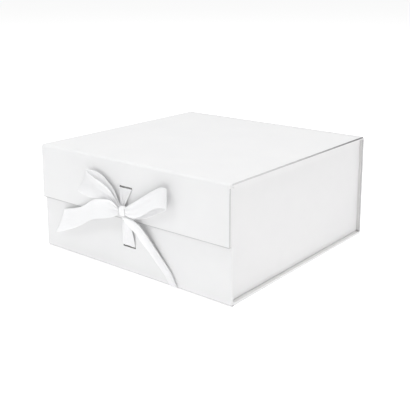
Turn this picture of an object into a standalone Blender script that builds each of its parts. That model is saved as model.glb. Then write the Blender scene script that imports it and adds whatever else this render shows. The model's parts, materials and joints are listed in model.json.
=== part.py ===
"""A folding gift box with a magnetic flap and a tied ribbon, closed.

Five greyboard panels in a row, wrapped in paper, make the case: flap, lid, spine, base and front wall.
Two side walls stand on the base, set in from its edges, and are taped to the front wall and the spine.
Metres, +Z up. The front faces -Y and the origin is the middle of the underside.
"""

import math

import bmesh
import bpy
from mathutils import Vector

# Case
BOX_WIDTH = 0.220
BOX_DEPTH = 0.220
BOX_HEIGHT = 0.100
FLAP_EDGE_HEIGHT = 0.0490  # the flap's lower edge above the table
SIDE_INSET = 0.0030  # ledge left outside each side wall

# Sheet materials
BOARD = 0.0015
PAPER = 0.0003
GAP = 0.0003  # glue film, and the clearance between pieces that meet
CORNER_ROUND = 0.0004  # paper drawn over a board's edge

# Ears and tape that hold the side walls up
EAR_THICKNESS = 0.0008
EAR_REACH = 0.024
EAR_TAPER = 0.006
EAR_END_CLEARANCE = 0.0018
TAPE_WIDTH = 0.012
TAPE_LENGTH = 0.070
HINGE_STRIP_LEG = 0.010

# Magnets
MAGNET_DIAMETER = 0.010
MAGNET_SPREAD = 0.070  # from the middle of the box to each magnet
MAGNET_ABOVE_EDGE = 0.014  # from the flap's lower edge to the magnets' centres

# Ribbon
RIBBON_WIDTH = 0.016
RIBBON_THICKNESS = 0.0004
SLOT_WIDTH = 0.015
SLOT_HEIGHT = 0.0022
UPPER_LIP_HEIGHT = 0.0765  # the edge of each slot that the ribbon bends over
LOWER_LIP_HEIGHT = 0.0255
TAB_LENGTH = 0.016  # glued end behind the board
KNOT_HEIGHT = 0.0585
KNOT_RIGHT = 0.0008  # a bow tied by hand sits a little off the middle
KNOT_PROUD = 0.0050  # the knot's centre in front of the flap
KNOT_SIZE = (0.0072, 0.0054, 0.0090)
UPPER_GATHER = (-0.0026, 0.0040, 1.0)  # where behind the knot, how wide there, how late it draws in
LOWER_GATHER = (0.0002, 0.0064, 1.5)
BOW_UNIT = 0.001  # one unit of length in the bow's stations below
LOOP_CROWN = 0.0008  # arch across a ribbon
LEFT_TAIL_CROWN = 0.0016
RIGHT_TAIL_CROWN = 0.0008

ARC_STEPS = 6
MAGNET_SIDES = 32
RIBBON_STEPS = 4  # loft steps between two stations
STRAND_STEPS = 8  # loft steps between a slot and the knot
RIBBON_LANES = 6  # strips across the ribbon
CUTTER_OVERSHOOT = 0.001

PANEL = 2 * PAPER + 2 * GAP + BOARD
BOARD_FACE = PAPER + GAP  # depth of the board's outer side under the panel's outer face
FLAP_FACE = -BOX_DEPTH / 2
WALL_FACE = FLAP_FACE + PANEL + GAP
SPINE_FACE = BOX_DEPTH / 2
SIDE_FACE = BOX_WIDTH / 2 - SIDE_INSET
WALL_TOP = BOX_HEIGHT - PANEL - GAP
WALL_FOOT = PANEL + GAP
MAGNET_HEIGHT = FLAP_EDGE_HEIGHT + MAGNET_ABOVE_EDGE
RECESS_DEPTH = RIBBON_THICKNESS + GAP  # room pressed into the board for the ribbon's glued end
STRAND_WIDTH = SLOT_WIDTH - 2 * GAP
RIBBON_CLEARANCE = GAP + RIBBON_THICKNESS / 2  # from the middle of a ribbon to what it lies against

# Directions that a panel's outer face looks in, as turns of a panel that lies face up
UP = (0, 0, 0)
DOWN = (math.pi, 0, 0)
FRONT = (math.pi / 2, 0, 0)
BACK = (math.pi / 2, 0, math.pi)
RIGHT = (math.pi / 2, 0, math.pi / 2)
LEFT = (math.pi / 2, 0, -math.pi / 2)

# Stations along each free stretch of ribbon, from its seat on the knot outwards, in bow units and degrees:
# right, forward and up from the seat, length of the line across as a share of the ribbon's width
# (over 1 where that line runs at a slant), turn of that line in the flap's plane, lean of its upper end
RIGHT_LOOP = (
    (0.0, 0.8, 0.6, 0.44, 90, 0),
    (4.0, 1.2, 1.5, 0.63, 96, -6),
    (12.1, 2.0, 4.6, 0.85, 98, -11),
    (21.6, 2.6, 10.1, 0.93, 100, -13),
    (32.7, 3.0, 17.0, 0.96, 98, -14),
    (40.6, 3.2, 20.8, 1.02, 97, -14),
    (45.2, 2.4, 21.2, 1.01, 99, -14),
    (46.2, 0.9, 19.6, 1.00, 101, -14),
    (41.8, -0.4, 17.0, 0.98, 104, -13),
    (32.6, -1.2, 12.1, 0.97, 105, -12),
    (19.8, -1.6, 5.5, 0.92, 108, -10),
    (4.5, -1.6, -1.3, 0.56, 101, -5),
    (0.0, -1.6, -1.2, 0.38, 94, 0),
)
LEFT_LOOP = (
    (0.0, 0.2, 0.8, 0.40, 90, 0),
    (-10.0, 1.2, 9.0, 0.82, 82, 0),
    (-20.0, 2.0, 13.4, 0.95, 85, -4),
    (-30.2, 3.2, 15.3, 1.13, 81, -11),
    (-39.2, 3.8, 18.2, 1.22, 76, -16),
    (-42.2, 3.2, 19.6, 1.23, 72, -17),
    (-40.1, 1.8, 20.0, 1.22, 73, -15),
    (-30.9, 0.5, 19.7, 1.18, 74, -13),
    (-21.7, -0.5, 16.7, 1.09, 76, -10),
    (-10.1, -1.2, 9.9, 0.83, 76, -6),
    (-2.5, -1.7, 1.8, 0.46, 84, -2),
    (0.0, -1.8, 0.6, 0.38, 88, 0),
)
LEFT_TAIL = (
    (0.0, 1.8, -0.4, 0.42, 90, 0),
    (-5.1, 3.8, 0.7, 0.88, 94, -3),
    (-13.5, 4.6, -0.5, 1.05, 94, -3),
    (-25.4, 4.0, -3.2, 1.11, 92, -3),
    (-34.4, 2.4, -7.1, 1.14, 88, -6),
    (-47.3, 0.0, -14.8, 1.15, 84, -7),
    (-62.9, -2.4, -21.5, 1.35, 76, -4),
    (-82.6, -3.8, -28.3, 1.73, 64, -3),
)
RIGHT_TAIL = (
    (1.6, 0.4, 0.0, 0.40, 6, 4),
    (7.5, -0.6, -3.6, 0.68, 24, 5),
    (14.1, -2.3, -9.0, 0.72, 27, 5),
    (21.9, -4.5, -18.5, 0.68, 28, 5),
    (29.4, -5.9, -27.1, 0.62, 28, 5),
    (36.9, -6.5, -34.9, 0.60, 30, 5),
    (44.1, -6.9, -42.3, 0.55, 31, 5),
    (48.8, -6.9, -49.2, 0.49, 26, 5),
    (51.1, -6.9, -52.1, 0.44, 8, 5),
)


def clear_scene():
    for obj in list(bpy.data.objects):
        bpy.data.objects.remove(obj, do_unlink=True)


def make_collections():
    """One collection for the box and one, left out of renders, for the cutters."""
    box = bpy.data.collections.new("magnetic_gift_box")
    cutters = bpy.data.collections.new("cutters")
    for collection in (box, cutters):
        bpy.context.scene.collection.children.link(collection)
    cutters.hide_render = True
    return box, cutters


def make_material(name, colour, roughness, metallic=0.0):
    material = bpy.data.materials.new(name)
    material.use_nodes = True
    shader = material.node_tree.nodes["Principled BSDF"]
    shader.inputs["Base Color"].default_value = (*colour, 1.0)
    shader.inputs["Roughness"].default_value = roughness
    shader.inputs["Metallic"].default_value = metallic
    material.diffuse_color = (*colour, 1.0)
    return material


def make_materials():
    return {
        "wrap_paper": make_material("wrap_paper", (0.90, 0.90, 0.91), 0.55),
        "liner_paper": make_material("liner_paper", (0.88, 0.88, 0.88), 0.70),
        "greyboard": make_material("greyboard", (0.42, 0.41, 0.39), 0.85),
        "magnet": make_material("magnet", (0.70, 0.71, 0.73), 0.25, 1.0),
        "tape": make_material("tape", (0.86, 0.84, 0.76), 0.40),
        "ribbon": make_material("ribbon", (0.92, 0.92, 0.94), 0.38),
    }


class Builder:
    """Links pieces into the scene, gives each its material and hangs it on its carrier."""

    def __init__(self):
        self.box, self.cutters = make_collections()
        self.materials = make_materials()

    def carrier(self, name, place):
        empty = bpy.data.objects.new(name, None)
        empty.location = place
        self.box.objects.link(empty)
        return empty

    def piece(self, name, bm, material, place, turn=UP, carrier=None):
        mesh = bpy.data.meshes.new(name)
        bmesh.ops.recalc_face_normals(bm, faces=bm.faces)
        bm.to_mesh(mesh)
        bm.free()
        obj = bpy.data.objects.new(name, mesh)
        obj.rotation_euler = turn
        obj.location = Vector(place)
        if carrier is not None:
            obj.parent = carrier
            obj.location -= carrier.location
        mesh.materials.append(self.materials[material])
        self.box.objects.link(obj)
        return obj

    def cutter(self, name, bm, place, turn=UP):
        mesh = bpy.data.meshes.new(name)
        bmesh.ops.recalc_face_normals(bm, faces=bm.faces)
        bm.to_mesh(mesh)
        bm.free()
        obj = bpy.data.objects.new(name, mesh)
        obj.location = place
        obj.rotation_euler = turn
        obj.hide_render = True
        obj.display_type = "WIRE"
        self.cutters.objects.link(obj)
        return obj


def cut(obj, cutter):
    boolean = obj.modifiers.new("cut " + cutter.name, "BOOLEAN")
    boolean.operation = "DIFFERENCE"
    boolean.object = cutter


def slab(length, width, depth, face=0.0):
    """A box whose upper side lies at face and whose middle is over the origin."""
    bm = bmesh.new()
    bmesh.ops.create_cube(bm, size=1.0)
    bmesh.ops.scale(bm, vec=(length, width, depth), verts=bm.verts)
    bmesh.ops.translate(bm, vec=(0, 0, face - depth / 2), verts=bm.verts)
    return bm


def disc(diameter, depth):
    bm = bmesh.new()
    bmesh.ops.create_cone(
        bm,
        cap_ends=True,
        segments=MAGNET_SIDES,
        radius1=diameter / 2,
        radius2=diameter / 2,
        depth=depth,
    )
    return bm


def add_solidify(obj, thickness, offset):
    solidify = obj.modifiers.new("thickness", "SOLIDIFY")
    solidify.thickness = thickness
    solidify.offset = offset
    solidify.use_even_offset = True


def wrap_sheet(builder, name, length, width, place, turn, carrier):
    """Paper over a board's outer side and down its four edges, open on the inner side."""
    bm = slab(length, width, PANEL)
    inner = [face for face in bm.faces if face.calc_center_median().z < -PANEL + GAP]
    bmesh.ops.delete(bm, geom=inner, context="FACES_ONLY")
    wrap = builder.piece(name + "_wrap", bm, "wrap_paper", place, turn, carrier)
    bevel = wrap.modifiers.new("drawn corners", "BEVEL")
    bevel.width = CORNER_ROUND
    bevel.segments = 2
    bevel.limit_method = "ANGLE"
    add_solidify(wrap, PAPER, -1)
    return wrap


def panel(builder, name, length, width, place, turn, carrier=None):
    """A wrapped board: paper wrap, greyboard and inner liner, each its own piece. Returns wrap and board."""
    margin = 2 * (PAPER + GAP)
    wrap = wrap_sheet(builder, name, length, width, place, turn, carrier)
    core = slab(length - margin, width - margin, BOARD, -BOARD_FACE)
    board = builder.piece(name + "_board", core, "greyboard", place, turn, carrier)
    inner = slab(length - margin, width - margin, PAPER, PAPER - PANEL)
    builder.piece(name + "_liner", inner, "liner_paper", place, turn, carrier)
    return wrap, board


def fold_strip(builder, name, y, z, start, carrier=None):
    """Paper round a folded corner, a quarter turn about the line through y and z, from the start angle."""
    bm = bmesh.new()
    rows = []
    for step in range(ARC_STEPS + 1):
        angle = math.radians(start + 90 * step / ARC_STEPS)
        across, up = PANEL * math.cos(angle), PANEL * math.sin(angle)
        rows.append([bm.verts.new((side * BOX_WIDTH / 2, across, up)) for side in (-1, 1)])
    for (a, b), (c, d) in zip(rows, rows[1:]):
        bm.faces.new((a, b, d, c))
    strip = builder.piece(name, bm, "wrap_paper", (0, y, z), UP, carrier)
    outward = strip.data.polygons[0].normal.dot(strip.data.polygons[0].center)
    add_solidify(strip, PAPER, -1 if outward > 0 else 1)
    return strip


def smooth_stations(stations):
    """Points of a Catmull-Rom curve through the stations, which it also passes through."""
    points = []
    last = len(stations) - 1
    for i in range(last):
        a, b = stations[max(i - 1, 0)], stations[i]
        c, d = stations[i + 1], stations[min(i + 2, last)]
        for step in range(RIBBON_STEPS):
            t = step / RIBBON_STEPS
            points.append(tuple(blend(*values, t) for values in zip(a, b, c, d)))
    points.append(stations[last])
    return points


def blend(p, q, r, s, t):
    """The Catmull-Rom value between q and r."""
    return 0.5 * (2 * q + (r - p) * t + (2 * p - 5 * q + 4 * r - s) * t**2 + (3 * (q - r) + s - p) * t**3)


def ribbon(builder, name, stations, crown, carrier):
    """A stretch of ribbon lofted through stations in metres and degrees, arched across by its crown."""
    middles, sides, widths = [], [], []
    for right, proud, rise, share, turn, lean in stations:
        turn, lean = math.radians(turn), math.radians(lean)
        flat = math.cos(lean)
        middles.append(Vector((right, FLAP_FACE - proud, KNOT_HEIGHT + rise)))
        sides.append(Vector((math.cos(turn) * flat, -math.sin(lean), math.sin(turn) * flat)))
        widths.append(share * RIBBON_WIDTH)
    bm = bmesh.new()
    rows = []
    last = len(middles) - 1
    for i, (middle, side, width) in enumerate(zip(middles, sides, widths)):
        along = middles[min(i + 1, last)] - middles[max(i - 1, 0)]
        out = along.cross(side).normalized()
        row = []
        for lane in range(RIBBON_LANES + 1):
            across = lane / RIBBON_LANES - 0.5
            arch = crown * (0.5 - 2 * across * across)
            row.append(bm.verts.new(middle + side * width * across + out * arch))
        rows.append(row)
    for row, following in zip(rows, rows[1:]):
        for lane in range(RIBBON_LANES):
            bm.faces.new((row[lane], row[lane + 1], following[lane + 1], following[lane]))
    piece = builder.piece(name, bm, "ribbon", (0, 0, 0), UP, carrier)
    add_solidify(piece, RIBBON_THICKNESS, 0)
    piece.data.shade_smooth()
    return piece


def free_stretch(builder, name, stations, crown, seat, carrier):
    """A loop or tail, from stations in bow units that are measured from its seat on the knot."""
    placed = [
        (*(origin + step * BOW_UNIT for origin, step in zip(seat, station)), *station[3:])
        for station in stations
    ]
    return ribbon(builder, name, smooth_stations(placed), crown, carrier)


def lip_bend(face, lip, way):
    """Stations from the ribbon's glued end behind the board, round the lip of its slot, to the panel's front.

    face is how far the panel's outer face stands in front of the flap's, lip the slot edge's height,
    and way the side of the slot that the ribbon lies on: -1 below it, 1 above it.
    """
    share = STRAND_WIDTH / RIBBON_WIDTH
    radius = RIBBON_CLEARANCE
    rise = lip - KNOT_HEIGHT
    back = face - (BOARD_FACE + BOARD - RECESS_DEPTH)
    stations = [(0, back - radius, rise + way * TAB_LENGTH, share, 0, 0)]
    for centre, start in ((back, 180), (face, 90)):
        for step in range(ARC_STEPS + 1):
            angle = math.radians(start - 90 * step / ARC_STEPS)
            out, round_lip = radius * math.cos(angle), radius * math.sin(angle)
            stations.append((0, centre + out, rise - way * round_lip, share, 0, 0))
    return stations


def strand_stations(face, lip, way, gather):
    """Stations of the taut ribbon from its slot to the back of the knot, drawn in as it goes."""
    right, width, lateness = gather
    behind_knot = KNOT_PROUD - KNOT_SIZE[1] / 2 - RIBBON_CLEARANCE
    start = (0, face + RIBBON_CLEARANCE, lip - KNOT_HEIGHT)
    end = (right, behind_knot, -way * KNOT_SIZE[2] / 4)
    stations = []
    for step in range(1, STRAND_STEPS + 1):
        t = step / STRAND_STEPS
        share = (STRAND_WIDTH + (width - STRAND_WIDTH) * t**lateness) / RIBBON_WIDTH
        stations.append((*(a + (b - a) * t for a, b in zip(start, end)), share, 0, 0))
    return stations


def divide(stations, rise, gap):
    """The stations below and above a height, each run ended half the gap short of it."""
    lower = [s for s in stations if s[2] < rise - gap]
    upper = [s for s in stations if s[2] > rise + gap]
    before, after = lower[-1], upper[0]
    for run, place, height in ((lower, len(lower), rise - gap / 2), (upper, 0, rise + gap / 2)):
        t = (height - before[2]) / (after[2] - before[2])
        run.insert(place, tuple(a + (b - a) * t for a, b in zip(before, after)))
    return lower, upper


def cut_ribbon_slot(builder, name, face_y, lip, way, wrap, board):
    """A slot through wrap and board, and the recess behind the board for the ribbon's end."""
    middle = lip - way * SLOT_HEIGHT / 2
    through = slab(SLOT_WIDTH, SLOT_HEIGHT, PANEL + 2 * CUTTER_OVERSHOOT, CUTTER_OVERSHOOT)
    slot = builder.cutter(name + "_slot", through, (0, face_y, middle), FRONT)
    length = TAB_LENGTH + GAP + SLOT_HEIGHT
    pressed = slab(SLOT_WIDTH, length, RECESS_DEPTH + CUTTER_OVERSHOOT, -(BOARD_FACE + BOARD - RECESS_DEPTH))
    centre = lip - way * SLOT_HEIGHT + way * length / 2
    recess = builder.cutter(name + "_recess", pressed, (0, face_y, centre), FRONT)
    cut(wrap, slot)
    cut(board, slot)
    cut(board, recess)


def add_magnets(builder, name, face_y, board, carrier=None):
    """A disc on each side, in a hole punched through the board."""
    y = face_y + BOARD_FACE + BOARD / 2
    for side, word in ((-1, "left"), (1, "right")):
        place = (side * MAGNET_SPREAD, y, MAGNET_HEIGHT)
        builder.piece(f"{name}_magnet_{word}", disc(MAGNET_DIAMETER, BOARD), "magnet", place, FRONT, carrier)
        punch = disc(MAGNET_DIAMETER + 2 * GAP, BOARD + 2 * CUTTER_OVERSHOOT)
        cut(board, builder.cutter(f"{name}_magnet_hole_{word}", punch, place, FRONT))


def make_base(builder):
    front, back = WALL_FACE + PANEL + GAP, SPINE_FACE - PANEL - GAP
    panel(builder, "base", BOX_WIDTH, back - front, (0, (front + back) / 2, 0), DOWN)
    fold_strip(builder, "front_fold_paper", WALL_FACE + PANEL, PANEL, 180)
    fold_strip(builder, "rear_fold_paper", SPINE_FACE - PANEL, PANEL, 270)


def lower_ribbon():
    """The lower ribbon in two runs that part just below the flap's edge: the wall's and the flap's."""
    face = FLAP_FACE - WALL_FACE
    stations = lip_bend(face, LOWER_LIP_HEIGHT, 1) + strand_stations(face, LOWER_LIP_HEIGHT, 1, LOWER_GATHER)
    return divide(stations, FLAP_EDGE_HEIGHT - 2 * GAP - KNOT_HEIGHT, GAP)


def make_front_wall(builder):
    place = (0, WALL_FACE, (WALL_FOOT + WALL_TOP) / 2)
    wrap, board = panel(builder, "front_wall", BOX_WIDTH, WALL_TOP - WALL_FOOT, place, FRONT)
    cut_ribbon_slot(builder, "front_wall", WALL_FACE, LOWER_LIP_HEIGHT, 1, wrap, board)
    add_magnets(builder, "front_wall", WALL_FACE, board)
    ribbon(builder, "ribbon_lower_strand", lower_ribbon()[0], 0.0, None)


def make_spine(builder):
    place = (0, SPINE_FACE, (WALL_FOOT + WALL_TOP) / 2)
    panel(builder, "spine", BOX_WIDTH, WALL_TOP - WALL_FOOT, place, BACK)
    fold_strip(builder, "lid_hinge_paper", SPINE_FACE - PANEL, BOX_HEIGHT - PANEL, 0)


def ear_plate(free):
    """An ear that narrows from its fold to its free end, which lies on the side that free is the sign of."""
    height = WALL_TOP - WALL_FOOT - 2 * EAR_END_CLEARANCE
    bm = slab(EAR_REACH, height, EAR_THICKNESS)
    for vert in bm.verts:
        if vert.co.x * free > 0:
            vert.co.y -= math.copysign(EAR_TAPER, vert.co.y)
    return bm


def hinge_strip(length):
    """Paper glued half to the base and half to a side wall that stands at its +X side."""
    bm = bmesh.new()
    corners = ((-HINGE_STRIP_LEG, 0), (0, 0), (0, HINGE_STRIP_LEG))
    rows = [[bm.verts.new((x, end * length / 2, z)) for end in (-1, 1)] for x, z in corners]
    for (a, b), (c, d) in zip(rows, rows[1:]):
        bm.faces.new((a, c, d, b))
    return bm


def make_side(builder, side, word, face):
    """One side wall with its ears, their tape and the paper hinge at its foot."""
    wall_inside = WALL_FACE + PANEL
    spine_inside = SPINE_FACE - PANEL
    front, back = wall_inside + GAP, spine_inside - GAP
    middle = (WALL_FOOT + WALL_TOP) / 2
    panel(
        builder,
        word + "_side",
        back - front,
        WALL_TOP - WALL_FOOT,
        (side * SIDE_FACE, (front + back) / 2, middle),
        face,
    )
    fold = SIDE_FACE - PANEL - GAP
    taped = 2 * GAP + PAPER  # tape with a glue film on both sides
    for end, start, away, turn in (("front", wall_inside, 1, BACK), ("rear", spine_inside, -1, FRONT)):
        ear_face = start + away * (taped + EAR_THICKNESS)
        place = (side * (fold - EAR_REACH / 2), ear_face, middle)
        builder.piece(f"{word}_{end}_ear", ear_plate(side * away), "wrap_paper", place, turn)
        strip = slab(TAPE_WIDTH, TAPE_LENGTH, PAPER)
        tape_place = (side * (fold - EAR_REACH / 2), start + away * (GAP + PAPER), middle)
        builder.piece(f"{word}_{end}_tape", strip, "tape", tape_place, turn)
    ear_depth = taped + EAR_THICKNESS + GAP
    first, last = wall_inside + ear_depth, spine_inside - ear_depth
    turn = (0, 0, 0 if side > 0 else math.pi)
    foot = (side * fold, (first + last) / 2, WALL_FOOT)
    strip = builder.piece(word + "_side_hinge_paper", hinge_strip(last - first), "liner_paper", foot, turn)
    inward = strip.data.polygons[0].normal.z > 0
    add_solidify(strip, PAPER, 1 if inward else -1)


def make_lid(builder, carrier):
    front, back = FLAP_FACE + PANEL + GAP, SPINE_FACE - PANEL - GAP
    panel(builder, "lid", BOX_WIDTH, back - front, (0, (front + back) / 2, BOX_HEIGHT), UP, carrier)
    fold_strip(builder, "flap_hinge_paper", FLAP_FACE + PANEL, BOX_HEIGHT - PANEL, 90, carrier)


def make_flap(builder, carrier):
    place = (0, FLAP_FACE, (FLAP_EDGE_HEIGHT + WALL_TOP) / 2)
    wrap, board = panel(builder, "flap", BOX_WIDTH, WALL_TOP - FLAP_EDGE_HEIGHT, place, FRONT, carrier)
    cut_ribbon_slot(builder, "flap", FLAP_FACE, UPPER_LIP_HEIGHT, -1, wrap, board)
    add_magnets(builder, "flap", FLAP_FACE, board, carrier)
    stations = lip_bend(0, UPPER_LIP_HEIGHT, -1) + strand_stations(0, UPPER_LIP_HEIGHT, -1, UPPER_GATHER)
    ribbon(builder, "ribbon_upper_strand", stations, 0.0, carrier)


def make_knot(builder, carrier):
    bm = bmesh.new()
    bmesh.ops.create_cube(bm, size=1.0)
    bmesh.ops.scale(bm, vec=KNOT_SIZE, verts=bm.verts)
    place = (KNOT_RIGHT, FLAP_FACE - KNOT_PROUD, KNOT_HEIGHT)
    knot = builder.piece("bow_knot", bm, "ribbon", place, UP, carrier)
    bevel = knot.modifiers.new("soft corners", "BEVEL")
    bevel.width = min(KNOT_SIZE) / 3
    bevel.segments = 3
    knot.data.shade_smooth()


def make_bow(builder, carrier):
    make_knot(builder, carrier)
    ribbon(builder, "ribbon_lower_neck", lower_ribbon()[1], 0.0, carrier)
    beside = KNOT_SIZE[0] / 2 + RIBBON_CLEARANCE
    right, left = (KNOT_RIGHT + beside, KNOT_PROUD, 0), (KNOT_RIGHT - beside, KNOT_PROUD, 0)
    below = (KNOT_RIGHT, KNOT_PROUD, -KNOT_SIZE[2] / 2 - RIBBON_CLEARANCE)
    free_stretch(builder, "bow_right_loop", RIGHT_LOOP, LOOP_CROWN, right, carrier)
    free_stretch(builder, "bow_left_loop", LEFT_LOOP, LOOP_CROWN, left, carrier)
    free_stretch(builder, "bow_left_tail", LEFT_TAIL, LEFT_TAIL_CROWN, left, carrier)
    free_stretch(builder, "bow_right_tail", RIGHT_TAIL, RIGHT_TAIL_CROWN, below, carrier)


def main():
    clear_scene()
    builder = Builder()
    bend = PANEL * (1 - math.sqrt(0.5))  # from a fold's square corner to the middle of its curve
    lid_pivot = builder.carrier("lid_hinge", (0, SPINE_FACE - bend, BOX_HEIGHT - bend))
    flap_pivot = builder.carrier("flap_hinge", (0, FLAP_FACE + bend, BOX_HEIGHT - bend))
    make_base(builder)
    make_front_wall(builder)
    make_spine(builder)
    make_side(builder, 1, "right", RIGHT)
    make_side(builder, -1, "left", LEFT)
    make_lid(builder, lid_pivot)
    make_flap(builder, flap_pivot)
    make_bow(builder, flap_pivot)


main()
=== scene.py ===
"""The closed gift box on a white sweep: paper skins, satin ribbon, materials, light and camera."""

import json
import math

import bmesh
import bpy
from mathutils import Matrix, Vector

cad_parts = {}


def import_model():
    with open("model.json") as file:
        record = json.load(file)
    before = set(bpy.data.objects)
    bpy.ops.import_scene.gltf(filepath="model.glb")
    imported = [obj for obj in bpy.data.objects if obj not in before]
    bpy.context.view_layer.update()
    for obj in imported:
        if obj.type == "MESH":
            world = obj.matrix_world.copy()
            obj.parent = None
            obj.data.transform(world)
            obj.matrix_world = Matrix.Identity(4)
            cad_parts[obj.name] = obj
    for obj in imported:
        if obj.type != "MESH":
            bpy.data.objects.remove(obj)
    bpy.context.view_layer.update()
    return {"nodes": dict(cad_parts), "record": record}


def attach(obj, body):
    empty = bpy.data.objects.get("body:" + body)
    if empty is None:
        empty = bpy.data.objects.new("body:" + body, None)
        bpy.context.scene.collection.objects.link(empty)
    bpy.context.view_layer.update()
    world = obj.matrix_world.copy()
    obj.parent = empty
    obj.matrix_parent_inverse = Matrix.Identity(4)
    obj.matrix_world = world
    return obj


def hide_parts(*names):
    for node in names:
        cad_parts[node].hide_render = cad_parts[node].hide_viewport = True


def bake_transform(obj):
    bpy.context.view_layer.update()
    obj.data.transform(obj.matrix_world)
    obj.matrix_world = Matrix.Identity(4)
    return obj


# Places that the solids share, in metres
BOX_WIDTH = 0.220
BOX_DEPTH = 0.220
BOX_HEIGHT = 0.100
FLAP_EDGE_HEIGHT = 0.0490
PANEL = 0.0027
GAP = 0.0003
CORNER_ROUND = 0.0004
FLAP_FACE = -BOX_DEPTH / 2
WALL_FACE = FLAP_FACE + PANEL + GAP
SPINE_FACE = BOX_DEPTH / 2

# Ribbon and bow
RIBBON_WIDTH = 0.016
RIBBON_THICKNESS = 0.00025
SLOT_WIDTH = 0.0144
UPPER_LIP_HEIGHT = 0.0765
LOWER_LIP_HEIGHT = 0.0255
TAB_LENGTH = 0.016
TAB_DEPTH = 0.0014  # from the panel's face to the ribbon's glued end behind the board
LIP_RADIUS = 0.0005
KNOT = (0.0008, 0.0050, 0.0585)  # right, in front of the flap, up
KNOT_SIZE = (0.0072, 0.0054, 0.0090)
KNOT_SIDE = 0.0041
KNOT_BELOW = 0.0050
BEHIND_KNOT = 0.0018
BOW_UNIT = 0.001
MILLIMETRES = 1000  # in one metre, for the weave's coordinates

# Sections across: arch, number of pleats, share of the slack that they take up
LOOP_PLEATS = (0.0008, 3, 0.16)
LEFT_TAIL_PLEATS = (0.0016, 3, 0.16)
STRAND_PLEATS = (0.0, 2, 0.12)
NECK_PLEATS = (0.0, 4, 0.40)
RIGHT_TAIL_CROWN = 0.0008
TUCK_RADIUS = 0.0003
TUCK_SHARE = 0.94  # most of the visible width that the folded part takes up behind it
SELVEDGE = (7.2, 7.5)  # mm from the ribbon's middle: where it starts and is full

# Knot: steps up and round, roundness, and pleats as depth, number round it and twist over its height
KNOT_RINGS = 20
KNOT_SPOKES = 72
KNOT_SWELL = (3.2, 0.42)
KNOT_SQUARENESS = 2.6
KNOT_PLEATS = ((0.055, 9, 1.4), (0.03, 17, -2))
KNOT_WEAVE = (24, 13)  # mm of ribbon round it and up it
WELD = 0.00001

# Paper skin over the folds
SKIN_LIFT = 0.00004
SKIN_REACH = 0.0045  # onto each neighbour
SKIN_OVERLAP = 0.0006  # of a skin's end over the panels' side edges
FOLD_STEPS = 10
SHARP_ANGLE = 40

# Camera: the photo's view, with the focal length in pixels of the picture
PICTURE_WIDTH = 410
SENSOR_WIDTH = 36.0
FOCAL_LENGTH = 731.4
CAMERA_SHIFT = -0.2
CAMERA_PLACE = (0.4268, -0.5342, 0.2527)
CAMERA_DOWN = 11.26
CAMERA_TURN = 38.76

# Area lights: name, place, size, power, colour
LIGHTS = (
    ("key", (-0.75, -1.5, 1.4), 0.6, 7.4, (0.965, 0.985, 1.0)),
    ("right", (1.6, -0.2, 0.7), 1.2, 2.8, (1.0, 0.95, 0.97)),
    ("top", (0, 0, 2.0), 1.5, 29.0, (1.0, 1.0, 1.0)),
)
WORLD_STRENGTH = 0.36

# Floor, and the light it gives: from and to a distance from the middle, from and to a strength
FLOOR_HALF = 15.0
FLOOR_WHITE = 0.92
FLOOR_NEAR = (0.11, 0.26, 0.56, 0.3)
FLOOR_FAR = (0.15, 1.2, 0.40, 0.62)

# Painted shade on the papers, with darker spine ends: where each starts and is full, how dark it is, and
# its colour
SIDE_BAND = (0.10965, 0.10985)
# Painted shadow gap along the top of the lid's side edges, darker towards the spine
LID_BAND = (0.0984, 0.0987)
LID_RUN = (-0.115, 0.107)
LID_POWER = 1.6
LID_FRONT_SHADE = 0.25
# Painted shadow line down the flap's side edges, next to its front face
FLAP_BAND = (-0.1085, -0.1088)
FLAP_SHADE = 0.36
# Painted shadow under the flap's lower edge
RIM_BAND = (0.0502, 0.0495)
RIM_SHADE = 0.45
# Spine's paper darker at both ends
SPINE_DARK = 0.22
# Painted shade on the spine's lining in the corners beside the side walls
MARGIN_BAND = (0.1066, 0.1072)
MARGIN_SHADE = 0.20
# Painted contact shadow where the paper turns under the front wall
FOOT_BAND = (0.0016, 0.0008)
FOOT_SHADOW = 0.60
# Grey that the painted shade on the papers and the darker spine ends mix towards
WRAP_PAINTED_DARK = (0.13, 0.13, 0.135)
LINING_PAINTED_SHADE = (0.13, 0.13, 0.13)
WRAP_WHITE = 0.82
# Base paper's white: lighter than the wrap, painting light into the shaded ledge beside the side walls
BASE_PAINTED_LIGHT = 0.86

# Nodes of the solid model that get a paper of their own
DRESS = {"lid_wrap": "cover_paper_painted_shade", "flap_wrap": "cover_paper_painted_shade", "base_wrap": "base_paper_painted_light",
         "spine_wrap": "spine_paper", "spine_liner": "spine_lining_painted_shade"}

# Stations of each stretch of ribbon, from its seat on the knot outwards, in bow units and degrees:
# right, forward and up from the seat, length of the line across as a share of the ribbon's width,
# turn of that line in the flap's plane, lean of its upper end
RIGHT_LOOP = (
    (0.0, 0.8, 0.6, 0.44, 90, 0),
    (4.0, 1.2, 1.5, 0.63, 96, -6),
    (12.1, 2.0, 4.6, 0.85, 98, -11),
    (21.6, 2.6, 10.1, 0.93, 100, -13),
    (32.7, 3.0, 17.0, 0.96, 98, -14),
    (40.6, 3.2, 20.8, 1.02, 97, -14),
    (45.2, 2.4, 21.2, 1.01, 99, -14),
    (46.2, 0.9, 19.6, 1.00, 101, -14),
    (41.8, -0.4, 17.0, 0.98, 104, -13),
    (32.6, -1.2, 12.1, 0.97, 105, -12),
    (19.8, -1.6, 5.5, 0.92, 108, -10),
    (4.5, -1.6, -1.3, 0.56, 101, -5),
    (0.0, -1.6, -1.2, 0.38, 94, 0),
)
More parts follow.
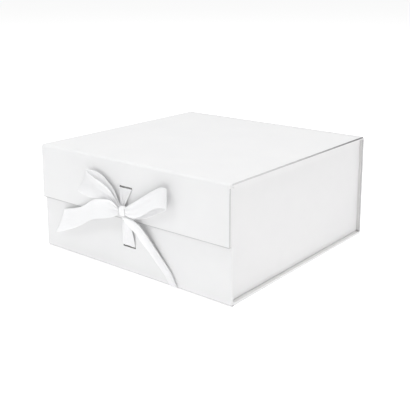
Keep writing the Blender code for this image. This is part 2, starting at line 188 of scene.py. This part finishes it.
LEFT_LOOP = (
    (0.0, 0.2, 0.8, 0.40, 90, 0),
    (-10.0, 1.2, 9.0, 0.82, 82, 0),
    (-20.0, 2.0, 13.4, 0.95, 85, -4),
    (-30.2, 3.2, 15.3, 1.13, 81, -11),
    (-39.2, 3.8, 18.2, 1.22, 76, -16),
    (-42.2, 3.2, 19.6, 1.23, 72, -17),
    (-40.1, 1.8, 20.0, 1.22, 73, -15),
    (-30.9, 0.5, 19.7, 1.18, 74, -13),
    (-21.7, -0.5, 16.7, 1.09, 76, -10),
    (-10.1, -1.2, 9.9, 0.83, 76, -6),
    (-2.5, -1.7, 1.8, 0.46, 84, -2),
    (0.0, -1.8, 0.6, 0.38, 88, 0),
)
LEFT_TAIL = (
    (0.0, 1.8, -0.4, 0.42, 90, 0),
    (-5.1, 3.8, 0.7, 0.88, 94, -3),
    (-13.5, 4.6, -0.5, 1.05, 94, -3),
    (-25.4, 4.0, -3.2, 1.11, 92, -3),
    (-34.4, 2.4, -7.1, 1.14, 88, -6),
    (-47.3, 0.0, -14.8, 1.15, 84, -7),
    (-62.9, -2.4, -21.5, 1.35, 76, -4),
    (-82.6, -3.8, -28.3, 1.73, 64, -3),
)
RIGHT_TAIL = (
    (1.6, 0.4, 0.0, 0.40, 6, 4),
    (7.5, -0.6, -3.6, 0.68, 24, 5),
    (14.1, -2.3, -9.0, 0.72, 27, 5),
    (21.9, -4.5, -18.5, 0.68, 28, 5),
    (29.4, -5.9, -27.1, 0.62, 28, 5),
    (36.9, -6.5, -34.9, 0.60, 30, 5),
    (44.1, -6.9, -42.3, 0.55, 31, 5),
    (48.8, -6.9, -49.2, 0.49, 26, 5),
    (51.1, -6.9, -52.1, 0.44, 8, 5),
)
UPPER_GATHER = (-0.0026, 0.0040, 1.0)
LOWER_GATHER = (0.0002, 0.0064, 1.5)

LANES = 40
STEPS = 7
STRAND_STEPS = 24
ARC_STEPS = 8


def main():
    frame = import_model()
    make_camera()
    make_lights()
    make_floor()
    materials = make_materials()
    dress_nodes(frame, materials)
    make_skins(materials)
    make_ribbons(materials)


def make_camera():
    data = bpy.data.cameras.new("camera")
    data.sensor_width = SENSOR_WIDTH
    data.lens = FOCAL_LENGTH * SENSOR_WIDTH / PICTURE_WIDTH
    data.shift_y = CAMERA_SHIFT
    obj = bpy.data.objects.new("camera", data)
    obj.location = CAMERA_PLACE
    obj.rotation_euler = (math.radians(90 - CAMERA_DOWN), 0, math.radians(CAMERA_TURN))
    bpy.context.scene.collection.objects.link(obj)
    bpy.context.scene.camera = obj


def area_light(name, place, size, energy, colour):
    data = bpy.data.lights.new(name, "AREA")
    data.shape = "RECTANGLE"
    data.size = size
    data.size_y = size
    data.energy = energy
    data.color = colour
    obj = bpy.data.objects.new(name, data)
    obj.location = place
    aim = Vector((0, 0, BOX_HEIGHT / 2))
    obj.rotation_euler = (aim - obj.location).to_track_quat("-Z", "Y").to_euler()
    bpy.context.scene.collection.objects.link(obj)


def make_lights():
    scene = bpy.context.scene
    scene.view_settings.view_transform = "Standard"
    world = bpy.data.worlds.new("studio")
    scene.world = world
    world.use_nodes = True
    background = world.node_tree.nodes["Background"]
    background.inputs["Color"].default_value = (1, 1, 1, 1)
    background.inputs["Strength"].default_value = WORLD_STRENGTH
    for light in LIGHTS:
        area_light(*light)


def make_floor():
    bm = bmesh.new()
    bmesh.ops.create_grid(bm, x_segments=1, y_segments=1, size=FLOOR_HALF)
    mesh = bpy.data.meshes.new("floor")
    bm.to_mesh(mesh)
    bm.free()
    obj = bpy.data.objects.new("floor", mesh)
    bpy.context.scene.collection.objects.link(obj)
    material, shader, graph = new_material("floor", (FLOOR_WHITE,) * 3, 0.9)
    shader.inputs["Specular IOR Level"].default_value = 0.0
    shader.inputs["Emission Color"].default_value = (1, 1, 1, 1)
    away = graph.length(graph.coordinates("Object"))
    bounce = graph.math("MAXIMUM", graph.ramp(away, *FLOOR_NEAR), graph.ramp(away, *FLOOR_FAR))
    graph.join(bounce, shader.inputs["Emission Strength"])
    mesh.materials.append(material)


class Graph:
    """Short ways to make and join shader nodes."""

    def __init__(self, tree):
        self.tree = tree

    def node(self, kind, **settings):
        made = self.tree.nodes.new("ShaderNode" + kind)
        for name, value in settings.items():
            setattr(made, name, value)
        return made

    def join(self, output, target):
        self.tree.links.new(output, target)

    def coordinates(self, name):
        return self.node("TexCoord").outputs[name]

    def axis(self, vector, name):
        parts = self.node("SeparateXYZ")
        self.join(vector, parts.inputs[0])
        return parts.outputs[name]

    def length(self, vector):
        made = self.node("VectorMath", operation="LENGTH")
        self.join(vector, made.inputs[0])
        return made.outputs["Value"]

    def stretch(self, vector, scale):
        made = self.node("Mapping")
        made.inputs["Scale"].default_value = scale
        self.join(vector, made.inputs["Vector"])
        return made.outputs["Vector"]

    def noise(self, vector, scale, detail=3.0, roughness=0.5):
        made = self.node("TexNoise")
        made.inputs["Scale"].default_value = scale
        made.inputs["Detail"].default_value = detail
        made.inputs["Roughness"].default_value = roughness
        self.join(vector, made.inputs["Vector"])
        return made.outputs["Fac"]

    def wave(self, vector, scale, direction, distortion=0.0):
        made = self.node("TexWave", wave_type="BANDS", bands_direction=direction)
        made.inputs["Scale"].default_value = scale
        made.inputs["Distortion"].default_value = distortion
        self.join(vector, made.inputs["Vector"])
        return made.outputs["Fac"]

    def ramp(self, value, low, high, start, end):
        made = self.node("MapRange")
        for name, number in (("From Min", low), ("From Max", high), ("To Min", start), ("To Max", end)):
            made.inputs[name].default_value = number
        self.join(value, made.inputs["Value"])
        return made.outputs["Result"]

    def math(self, operation, a, b):
        made = self.node("Math", operation=operation)
        for value, target in ((a, made.inputs[0]), (b, made.inputs[1])):
            if isinstance(value, (int, float)):
                target.default_value = value
            else:
                self.join(value, target)
        return made.outputs[0]

    def mix(self, share, first, second):
        """A colour between two, where each is a colour or another node's output."""
        made = self.node("Mix", data_type="RGBA")
        self.join(share, made.inputs["Factor"])
        for value, target in ((first, made.inputs[6]), (second, made.inputs[7])):
            if isinstance(value, tuple):
                target.default_value = (*value, 1)
            else:
                self.join(value, target)
        return made.outputs[2]

    def bump(self, height, strength, distance, under=None):
        made = self.node("Bump")
        made.inputs["Strength"].default_value = strength
        made.inputs["Distance"].default_value = distance
        self.join(height, made.inputs["Height"])
        if under is not None:
            self.join(under, made.inputs["Normal"])
        return made.outputs["Normal"]


def new_material(name, colour, roughness, metallic=0.0):
    material = bpy.data.materials.new(name)
    material.use_nodes = True
    shader = material.node_tree.nodes["Principled BSDF"]
    shader.inputs["Base Color"].default_value = (*colour, 1)
    shader.inputs["Roughness"].default_value = roughness
    shader.inputs["Metallic"].default_value = metallic
    return material, shader, Graph(material.node_tree)


def cover_painted_shade(graph, place):
    """Painted shade on the cover's paper: a shadow gap along the lid's sides, deeper towards the spine,
    and shadow lines at the flap's sides and under its lower edge.
    """
    x, y, z = (graph.axis(place, name) for name in "XYZ")
    side = graph.ramp(graph.math("ABSOLUTE", x, 0), *SIDE_BAND, 0, 1)
    band = graph.ramp(z, *LID_BAND, 0, 1)
    rearward = graph.math("POWER", graph.ramp(y, *LID_RUN, 0, 1), LID_POWER)
    lid = graph.math("MULTIPLY", band, graph.ramp(rearward, 0, 1, LID_FRONT_SHADE, 1.0))
    flap = graph.ramp(y, *FLAP_BAND, 0, FLAP_SHADE)
    rim = graph.ramp(z, *RIM_BAND, 0, RIM_SHADE)
    return graph.math("MAXIMUM", graph.math("MULTIPLY", side, graph.math("MAXIMUM", lid, flap)), rim)


def spine_edges(graph, place):
    """How dark the spine's paper is, where it turns in at both ends."""
    return graph.ramp(graph.math("ABSOLUTE", graph.axis(place, "X"), 0), *SIDE_BAND, 0, SPINE_DARK)


def spine_margin_shade(graph, place):
    """Painted shade on the spine's lining outside the two side walls, in the corners beside them."""
    return graph.ramp(graph.math("ABSOLUTE", graph.axis(place, "X"), 0), *MARGIN_BAND, 0, MARGIN_SHADE)


def foot_painted_shadow(graph, place):
    """Painted contact shadow on the paper where it turns under the front wall."""
    return graph.ramp(graph.axis(place, "Z"), *FOOT_BAND, 0, FOOT_SHADOW)


def wrap_paper(name, white=WRAP_WHITE, painted_dark=None):
    """White art paper: fine tooth, faint cloudiness, a slightly uneven gloss, and the painted darkening
    it is given near some edges: painted shade on the cover and at the front wall's foot, darker spine
    ends.
    """
    material, shader, graph = new_material(name, (white, white, white), 0.55)
    place = graph.coordinates("Object")
    cloud = graph.noise(place, scale=28, detail=4, roughness=0.55)
    fibre = graph.noise(graph.stretch(place, (1, 1, 0.4)), scale=2600, detail=3, roughness=0.6)
    tooth = graph.noise(place, scale=900, detail=2, roughness=0.5)
    dull, clear = white - 0.011, white + 0.006
    cloudy = graph.ramp(cloud, 0.3, 0.7, 0, 1)
    tone = graph.mix(cloudy, (dull, dull, white - 0.008), (clear, clear, clear))
    # Painted shade, and on the spine darker ends, mixed into the paper's colour
    if painted_dark:
        tone = graph.mix(painted_dark(graph, place), tone, WRAP_PAINTED_DARK)
    graph.join(tone, shader.inputs["Base Color"])
    graph.join(graph.ramp(fibre, 0.2, 0.8, 0.5, 0.64), shader.inputs["Roughness"])
    shader.inputs["Specular IOR Level"].default_value = 0.35
    low = graph.bump(tooth, strength=0.10, distance=0.00006)
    graph.join(graph.bump(fibre, strength=0.14, distance=0.00003, under=low), shader.inputs["Normal"])
    return material


def liner_paper(name, painted_dark=None):
    """The inner lining: matter and a little warmer, with longer fibres."""
    material, shader, graph = new_material(name, (0.88, 0.875, 0.865), 0.75)
    place = graph.coordinates("Object")
    cloud = graph.noise(place, scale=40, detail=4, roughness=0.6)
    fibre = graph.noise(graph.stretch(place, (1, 0.25, 1)), scale=1800, detail=4, roughness=0.65)
    tone = graph.mix(graph.ramp(cloud, 0.3, 0.7, 0, 1), (0.86, 0.856, 0.846), (0.89, 0.887, 0.88))
    # Painted shade on the lining beside the side walls, mixed into its colour
    if painted_dark:
        tone = graph.mix(painted_dark(graph, place), tone, LINING_PAINTED_SHADE)
    graph.join(tone, shader.inputs["Base Color"])
    graph.join(graph.ramp(fibre, 0.2, 0.8, 0.68, 0.84), shader.inputs["Roughness"])
    graph.join(graph.bump(fibre, strength=0.2, distance=0.00005), shader.inputs["Normal"])
    return material


def greyboard():
    """Recycled board: grey with dark and pale flecks, and the thin layers that its cut edges show."""
    material, shader, graph = new_material("greyboard", (0.42, 0.41, 0.39), 0.88)
    place = graph.coordinates("Object")
    cloud = graph.noise(place, scale=90, detail=5, roughness=0.6)
    fleck = graph.noise(graph.stretch(place, (1, 0.5, 1)), scale=1400, detail=2, roughness=0.7)
    layers = graph.wave(place, scale=900, direction="DIAGONAL", distortion=3)
    body = graph.mix(graph.ramp(cloud, 0.3, 0.7, 0, 1), (0.36, 0.35, 0.33), (0.46, 0.45, 0.43))
    marked = graph.mix(graph.ramp(fleck, 0.62, 0.72, 0, 1), body, (0.58, 0.57, 0.54))
    graph.join(marked, shader.inputs["Base Color"])
    rough = graph.bump(layers, strength=0.15, distance=0.00005)
    graph.join(graph.bump(fleck, strength=0.35, distance=0.00008, under=rough), shader.inputs["Normal"])
    return material


def magnet_metal():
    """Nickel plating with a fine ground finish and small dull spots."""
    material, shader, graph = new_material("magnet", (0.72, 0.72, 0.73), 0.25, 1.0)
    place = graph.coordinates("Object")
    ground = graph.noise(graph.stretch(place, (1, 1, 0.05)), scale=6000, detail=2, roughness=0.6)
    spots = graph.noise(place, scale=700, detail=3, roughness=0.6)
    tone = graph.mix(graph.ramp(spots, 0.55, 0.75, 0, 1), (0.74, 0.74, 0.75), (0.52, 0.52, 0.53))
    graph.join(tone, shader.inputs["Base Color"])
    graph.join(graph.ramp(spots, 0.4, 0.75, 0.2, 0.42), shader.inputs["Roughness"])
    graph.join(graph.bump(ground, strength=0.12, distance=0.00002), shader.inputs["Normal"])
    return material


def tape_film():
    """Double-sided tape: pale yellowish film over adhesive, faintly streaked along the roll."""
    material, shader, graph = new_material("tape", (0.86, 0.84, 0.76), 0.38)
    place = graph.coordinates("Object")
    streak = graph.noise(graph.stretch(place, (1, 1, 0.06)), scale=900, detail=3, roughness=0.5)
    tone = graph.mix(graph.ramp(streak, 0.35, 0.65, 0, 1), (0.83, 0.81, 0.71), (0.88, 0.86, 0.79))
    graph.join(tone, shader.inputs["Base Color"])
    graph.join(graph.ramp(streak, 0.3, 0.7, 0.3, 0.46), shader.inputs["Roughness"])
    graph.join(graph.bump(streak, strength=0.2, distance=0.00004), shader.inputs["Normal"])
    return material


def satin():
    """Double-faced satin: fine cords along the ribbon, crossing threads, a firm selvedge each side."""
    material, shader, graph = new_material("ribbon", (0.95, 0.95, 0.955), 0.42)
    strand = graph.coordinates("UV")
    across = graph.axis(strand, "X")
    warp = graph.wave(strand, scale=2.2, direction="X")
    weft = graph.wave(strand, scale=1.1, direction="Y", distortion=0.6)
    uneven = graph.noise(graph.stretch(strand, (1, 0.12, 1)), scale=0.9, detail=3, roughness=0.5)
    edge = graph.math("ABSOLUTE", across, 0)
    selvedge = graph.ramp(edge, *SELVEDGE, 0, 1)
    tone = graph.mix(graph.ramp(uneven, 0.3, 0.7, 0, 1), (0.895, 0.896, 0.904), (0.918, 0.918, 0.924))
    graph.join(graph.mix(selvedge, tone, (0.925, 0.925, 0.930)), shader.inputs["Base Color"])
    graph.join(graph.ramp(uneven, 0.25, 0.75, 0.36, 0.5), shader.inputs["Roughness"])
    threads = graph.math("ADD", warp, graph.math("MULTIPLY", weft, 0.5))
    raised = graph.math("ADD", threads, graph.math("MULTIPLY", selvedge, 2.0))
    graph.join(graph.bump(raised, strength=0.12, distance=0.00004), shader.inputs["Normal"])
    shader.inputs["Subsurface Weight"].default_value = 0.25
    shader.inputs["Subsurface Radius"].default_value = (1, 1, 1)
    shader.inputs["Subsurface Scale"].default_value = 0.002
    shader.inputs["Sheen Weight"].default_value = 0.15
    shader.inputs["Sheen Roughness"].default_value = 0.4
    return material


def make_materials():
    return {
        "wrap_paper": wrap_paper("wrap_paper"),
        # Cover paper carries the painted shade lines along the lid and the flap
        "cover_paper_painted_shade": wrap_paper("cover_paper_painted_shade", painted_dark=cover_painted_shade),
        # Base paper lighter than the wrap: painted light that lifts the shaded ledge beside the side
        # walls
        "base_paper_painted_light": wrap_paper("base_paper_painted_light", BASE_PAINTED_LIGHT),
        "spine_paper": wrap_paper("spine_paper", painted_dark=spine_edges),
        # Foot paper carries the painted contact shadow under the front wall
        "foot_paper_painted_shadow": wrap_paper("foot_paper_painted_shadow", painted_dark=foot_painted_shadow),
        "liner_paper": liner_paper("liner_paper"),
        # Spine lining carries painted shade beside the side walls
        "spine_lining_painted_shade": liner_paper("spine_lining_painted_shade", spine_margin_shade),
        "greyboard": greyboard(),
        "magnet": magnet_metal(),
        "tape": tape_film(),
        "ribbon": satin(),
    }


def dress_nodes(frame, materials):
    """Every node of the solid model gets the detailed material of its slot."""
    slots = {part["node"]: part["material_slot"] for part in frame["record"]["subparts"]}
    for name, node in frame["nodes"].items():
        for slot in node.material_slots:
            slot.material = materials[DRESS.get(name, slots[name])]


def add_piece(name, bm, material):
    mesh = bpy.data.meshes.new(name)
    bm.to_mesh(mesh)
    bm.free()
    mesh.materials.append(material)
    mesh.shade_smooth()
    obj = bpy.data.objects.new(name, mesh)
    bpy.context.scene.collection.objects.link(obj)
    return obj


def loft(bm, rows):
    """Faces between rows of points that all have the same count."""
    made = [[bm.verts.new(point) for point in row] for row in rows]
    faces = []
    for row, following in zip(made, made[1:]):
        for a, b, c, d in zip(row, row[1:], following[1:], following):
            faces.append(bm.faces.new((a, b, c, d)))
    return made, faces


def fold_profile(y, z, start, reach, sunk):
    """Outer line of a fold in the YZ plane, sunk below the paper: straight, a quarter turn, straight."""
    radius = PANEL + SKIN_LIFT - sunk
    turn = [math.radians(start + 90 * step / FOLD_STEPS) for step in range(FOLD_STEPS + 1)]
    arc = [(y + radius * math.cos(a), z + radius * math.sin(a)) for a in turn]
    first, last = turn[0], turn[-1]
    before = (arc[0][0] + reach * math.sin(first), arc[0][1] - reach * math.cos(first))
    after = (arc[-1][0] - reach * math.sin(last), arc[-1][1] + reach * math.cos(last))
    return [before] + arc + [after]


def make_skin(name, node, y, z, start, material):
    """The wrap paper where it runs on round a fold, with drawn corners, closed at both ends."""
    half = BOX_WIDTH / 2 + SKIN_LIFT
    outer = fold_profile(y, z, start, SKIN_REACH, 0)
    drawn = fold_profile(y, z, start, SKIN_REACH, CORNER_ROUND)
    rows = []
    for top, low in zip(outer, drawn):
        left, right = (-half, *low), (half, *low)
        rows.append([left, (CORNER_ROUND - half, *top), (half - CORNER_ROUND, *top), right])
    bm = bmesh.new()
    made, _ = loft(bm, rows)
    covered = fold_profile(y, z, start, SKIN_OVERLAP, CORNER_ROUND)
    for side, column in ((-1, 0), (1, 3)):
        ends = [bm.verts.new((side * half, *covered[0]))]
        ends += [row[column] for row in made[1:-1]]
        ends.append(bm.verts.new((side * half, *covered[-1])))
        middle = bm.verts.new((side * half, *end_corner(y, z, start)))
        for a, b in zip(ends, ends[1:]):
            bm.faces.new((a, b, middle))
    bmesh.ops.recalc_face_normals(bm, faces=bm.faces)
    skin = add_piece(name, bm, material)
    skin.data.set_sharp_from_angle(angle=math.radians(SHARP_ANGLE))
    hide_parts(node)
    return skin


def end_corner(y, z, start):
    """Inner corner of a fold's closed end, just past the middle of its turn."""
    middle = math.radians(start + 45)
    reach = SKIN_OVERLAP * math.sqrt(2)
    return y - reach * math.cos(middle), z - reach * math.sin(middle)


def make_skins(materials):
    paper = materials["wrap_paper"]
    low, high = PANEL, BOX_HEIGHT - PANEL
    # The front fold's skin carries the painted contact shadow at the wall's foot
    foot = materials["foot_paper_painted_shadow"]
    front = make_skin("front_fold_skin", "front_fold_paper", WALL_FACE + PANEL, low, 180, foot)
    rear = make_skin("rear_fold_skin", "rear_fold_paper", SPINE_FACE - PANEL, low, 270, paper)
    for skin in (front, rear):
        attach(skin, "tray")
    back = make_skin("lid_hinge_skin", "lid_hinge_paper", SPINE_FACE - PANEL, high, 0, paper)
    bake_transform(back)
    over = make_skin("flap_hinge_skin", "flap_hinge_paper", FLAP_FACE + PANEL, high, 90, paper)
    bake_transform(over)


def curve_value(p, q, r, s, t):
    """The Catmull-Rom value between q and r."""
    square = 2 * p - 5 * q + 4 * r - s
    cube = 3 * (q - r) + s - p
    return 0.5 * (2 * q + (r - p) * t + square * t**2 + cube * t**3)


def smooth_stations(stations, steps):
    points = []
    last = len(stations) - 1
    for i in range(last):
        a, b = stations[max(i - 1, 0)], stations[i]
        c, d = stations[i + 1], stations[min(i + 2, last)]
        for step in range(steps):
            t = step / steps
            points.append(tuple(curve_value(*values, t) for values in zip(a, b, c, d)))
    points.append(stations[last])
    return points


def pleated(crown, pleats, taken):
    """An arched section whose pleats take up some of the slack where the ribbon is drawn in."""

    def section(share):
        width = share * RIBBON_WIDTH
        slack = math.sqrt(max(1 / min(share, 1.0) ** 2 - 1, 0))
        depth = taken * slack * width / (math.pi * pleats)
        points = []
        for lane in range(LANES + 1):
            across = lane / LANES - 0.5
            arch = crown * (0.5 - 2 * across * across)
            points.append((width * across, arch + depth * math.cos(2 * math.pi * pleats * across)))
        return points

    return section


def tucked(crown):
    """An arched section with the rest of the ribbon's width folded in behind it."""

    def section(share):
        width = min(share, 1.0) * RIBBON_WIDTH - TUCK_RADIUS
        turn = math.pi * TUCK_RADIUS
        behind = RIBBON_WIDTH - width - turn
        drawn = min(1.0, TUCK_SHARE * width / behind) if behind > 0 else 1.0
        points = []
        for lane in range(LANES + 1):
            run = lane / LANES * RIBBON_WIDTH
            past = run - width
            if past <= 0:
                across, back = run, 0.0
            elif past < turn:
                angle = past / TUCK_RADIUS
                across, back = width + TUCK_RADIUS * math.sin(angle), TUCK_RADIUS * (1 - math.cos(angle))
            else:
                across, back = width - (past - turn) * drawn, 2 * TUCK_RADIUS
            place = across / width - 0.5
            points.append((across - (width + TUCK_RADIUS) / 2, crown * (0.5 - 2 * place * place) - back))
        return points

    return section


def ribbon(name, node, stations, section, material, body):
    """A stretch of ribbon lofted through stations, with the section that each one's share gives."""
    middles, sides, shares = [], [], []
    for right, proud, rise, share, turn, lean in stations:
        turn, lean = math.radians(turn), math.radians(lean)
        flat = math.cos(lean)
        middles.append(Vector((right, FLAP_FACE - proud, rise)))
        sides.append(Vector((math.cos(turn) * flat, -math.sin(lean), math.sin(turn) * flat)))
        shares.append(share)
    last = len(middles) - 1
    rows, marks = [], []
    run = 0.0
    for i, (middle, side, share) in enumerate(zip(middles, sides, shares)):
        along = middles[min(i + 1, last)] - middles[max(i - 1, 0)]
        out = along.cross(side).normalized()
        if i:
            run += (middle - middles[i - 1]).length
        row, mark = [], []
        for lane, (across, height) in enumerate(section(share)):
            row.append(middle + side * across + out * height)
            mark.append(((lane / LANES - 0.5) * RIBBON_WIDTH * MILLIMETRES, run * MILLIMETRES))
        rows.append(row)
        marks.append(mark)
    bm = bmesh.new()
    made, faces = loft(bm, rows)
    layer = bm.loops.layers.uv.new("weave")
    places = {vert: mark for row, line in zip(made, marks) for vert, mark in zip(row, line)}
    for face in faces:
        for loop in face.loops:
            loop[layer].uv = places[loop.vert]
    piece = add_piece(name, bm, material)
    solidify = piece.modifiers.new("thickness", "SOLIDIFY")
    solidify.thickness = RIBBON_THICKNESS
    solidify.offset = 0
    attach(piece, body)
    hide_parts(node)
    return piece, run


def free_stretch(stations, seat):
    placed = [
        (*(origin + step * BOW_UNIT for origin, step in zip(seat, station)), *station[3:])
        for station in stations
    ]
    return smooth_stations(placed, STEPS)


def lip_bend(face, lip, way):
    """From the glued end behind the board, round the lip of the slot, to the panel's front."""
    share = SLOT_WIDTH / RIBBON_WIDTH
    back = face - TAB_DEPTH
    stations = [(0, back - LIP_RADIUS, lip + way * TAB_LENGTH, share, 0, 0)]
    for centre, start in ((back, 180), (face, 90)):
        for step in range(ARC_STEPS + 1):
            angle = math.radians(start - 90 * step / ARC_STEPS)
            out, around = LIP_RADIUS * math.cos(angle), LIP_RADIUS * math.sin(angle)
            stations.append((0, centre + out, lip - way * around, share, 0, 0))
    return stations


def strand(face, lip, way, gather):
    """From the slot to the back of the knot, drawn in as it goes."""
    right, width, lateness = gather
    start = (0, face + LIP_RADIUS, lip)
    end = (right, BEHIND_KNOT, KNOT[2] - way * KNOT_SIZE[2] / 4)
    stations = lip_bend(face, lip, way)
    for step in range(1, STRAND_STEPS + 1):
        t = step / STRAND_STEPS
        share = (SLOT_WIDTH + (width - SLOT_WIDTH) * t**lateness) / RIBBON_WIDTH
        stations.append((*(a + (b - a) * t for a, b in zip(start, end)), share, 0, 0))
    return stations


def divide(stations, height, gap):
    """The stations below and above a height, each run ended half the gap short of it."""
    lower = [s for s in stations if s[2] < height - gap]
    upper = [s for s in stations if s[2] > height + gap]
    before, after = lower[-1], upper[0]
    for run, place, level in ((lower, len(lower), height - gap / 2), (upper, 0, height + gap / 2)):
        t = (level - before[2]) / (after[2] - before[2])
        run.insert(place, tuple(a + (b - a) * t for a, b in zip(before, after)))
    return lower, upper


def make_knot(material):
    """The band drawn tight round the bow's middle: a barrel with upright pleats."""
    across, deep, tall = (size / 2 for size in KNOT_SIZE)
    bulge, fullness = KNOT_SWELL
    rows = []
    for ring in range(KNOT_RINGS + 1):
        t = ring / KNOT_RINGS * 2 - 1
        swell = (1 - abs(t) ** bulge) ** fullness
        row = []
        for spoke in range(KNOT_SPOKES + 1):
            angle = 2 * math.pi * spoke / KNOT_SPOKES
            pleat = 0
            for depth, count, twist in KNOT_PLEATS:
                pleat += depth * math.cos(count * angle + twist * t)
            reach = swell * (1 + pleat * (1 - 0.5 * t * t))
            rounding = abs(math.cos(angle)) ** KNOT_SQUARENESS + abs(math.sin(angle)) ** KNOT_SQUARENESS
            flat = 1 / rounding ** (1 / KNOT_SQUARENESS)
            row.append((
                KNOT[0] + across * reach * flat * math.cos(angle),
                FLAP_FACE - KNOT[1] + deep * reach * flat * math.sin(angle),
                KNOT[2] + tall * t,
            ))
        rows.append(row)
    bm = bmesh.new()
    made, _ = loft(bm, rows)
    layer = bm.loops.layers.uv.new("weave")
    wide, high = KNOT_WEAVE
    for ring, row in enumerate(made):
        for spoke, vert in enumerate(row):
            for loop in vert.link_loops:
                loop[layer].uv = (spoke / KNOT_SPOKES * wide - wide / 2, ring / KNOT_RINGS * high)
    bmesh.ops.remove_doubles(bm, verts=bm.verts, dist=WELD)
    bmesh.ops.recalc_face_normals(bm, faces=bm.faces)
    knot = add_piece("bow_knot_wrap", bm, material)
    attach(knot, "flap")
    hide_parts("bow_knot")


def make_ribbons(materials):
    material = materials["ribbon"]
    right = (KNOT[0] + KNOT_SIDE, KNOT[1], KNOT[2])
    left = (KNOT[0] - KNOT_SIDE, KNOT[1], KNOT[2])
    below = (KNOT[0], KNOT[1], KNOT[2] - KNOT_BELOW)
    face = FLAP_FACE - WALL_FACE
    upper = strand(0, UPPER_LIP_HEIGHT, -1, UPPER_GATHER)
    lower = strand(face, LOWER_LIP_HEIGHT, 1, LOWER_GATHER)
    wall_run, flap_run = divide(lower, FLAP_EDGE_HEIGHT - 2 * GAP, GAP)
    loop, hung = pleated(*LOOP_PLEATS), pleated(*LEFT_TAIL_PLEATS)
    drawn, neck, folded = pleated(*STRAND_PLEATS), pleated(*NECK_PLEATS), tucked(RIGHT_TAIL_CROWN)
    stretches = (
        ("right_loop_satin", "bow_right_loop", free_stretch(RIGHT_LOOP, right), loop, "flap", "folded"),
        ("left_loop_satin", "bow_left_loop", free_stretch(LEFT_LOOP, left), loop, "flap", "folded"),
        ("left_tail_satin", "bow_left_tail", free_stretch(LEFT_TAIL, left), hung, "flap", "hung"),
        ("right_tail_satin", "bow_right_tail", free_stretch(RIGHT_TAIL, below), folded, "flap", "hung"),
        ("upper_strand_satin", "ribbon_upper_strand", upper, drawn, "flap", "stretched"),
        ("lower_strand_satin", "ribbon_lower_strand", wall_run, drawn, "tray", "stretched"),
        ("lower_neck_satin", "ribbon_lower_neck", flap_run, neck, "flap", "stretched"),
    )
    for name, node, stations, section, body, held in stretches:
        piece, length = ribbon(name, node, stations, section, material, body)
    make_knot(material)


main()
